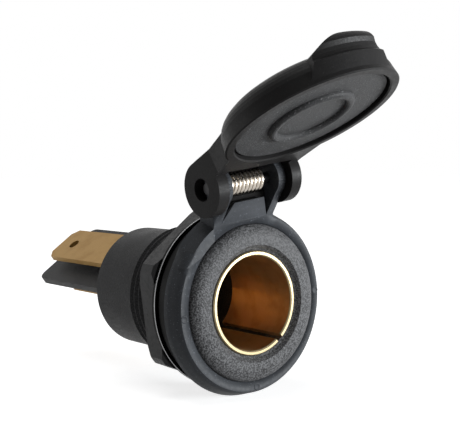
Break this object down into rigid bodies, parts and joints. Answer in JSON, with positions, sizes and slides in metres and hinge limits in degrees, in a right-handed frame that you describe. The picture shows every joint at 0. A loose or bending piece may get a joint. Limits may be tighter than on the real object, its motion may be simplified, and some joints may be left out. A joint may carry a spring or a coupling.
{
  "type": "car 12v power socket",
  "caption": "Round panel power socket with a slit brass contact sleeve, threaded barrel with clamp nut, flat rear blades and a sprung hinged lid with thumb tab.",
  "frame": {"origin": "on the bore axis at the panel seat, which is the back face of the gasket", "axes": "+Y along the bore axis from the mouth to the blades, -Y out of the mouth, +Z from the bore axis to the hinge of the lid"},
  "size_m": [0.024, 0.0656, 0.0436],
  "materials": {
    "moulded_black": "fine moulded grain, matt black",
    "satin_black": "smooth satin black plastic",
    "nut_black": "smooth black plastic",
    "black_rubber": "matt black rubber",
    "polished_brass": "bright rolled brass",
    "matt_brass": "dull stamped brass",
    "spring_steel": "bright drawn wire",
    "dark_steel": "dark oxide steel"
  },
  "bodies": {
    "socket": {"socket_body": "moulded_black", "contact_sleeve": "polished_brass", "sleeve_terminal": "matt_brass", "sleeve_rivet": "polished_brass", "centre_contact": "polished_brass", "centre_terminal": "matt_brass", "terminal_carrier": "moulded_black", "lid_ring": "satin_black", "hinge_pin": "dark_steel", "lid_spring": "spring_steel", "gasket": "black_rubber", "washer": "nut_black", "nut": "nut_black"},
    "cover": {"lid": "satin_black", "lid_seal": "black_rubber"}
  },
  "joints": [
    {"name": "lid_hinge", "type": "hinge", "parent": "socket", "child": "cover", "pos_m": [0, -0.006, 0.01535], "axis": [1, 0, 0], "range_deg": [0, 118], "deforming": ["lid_spring"]}
  ]
}
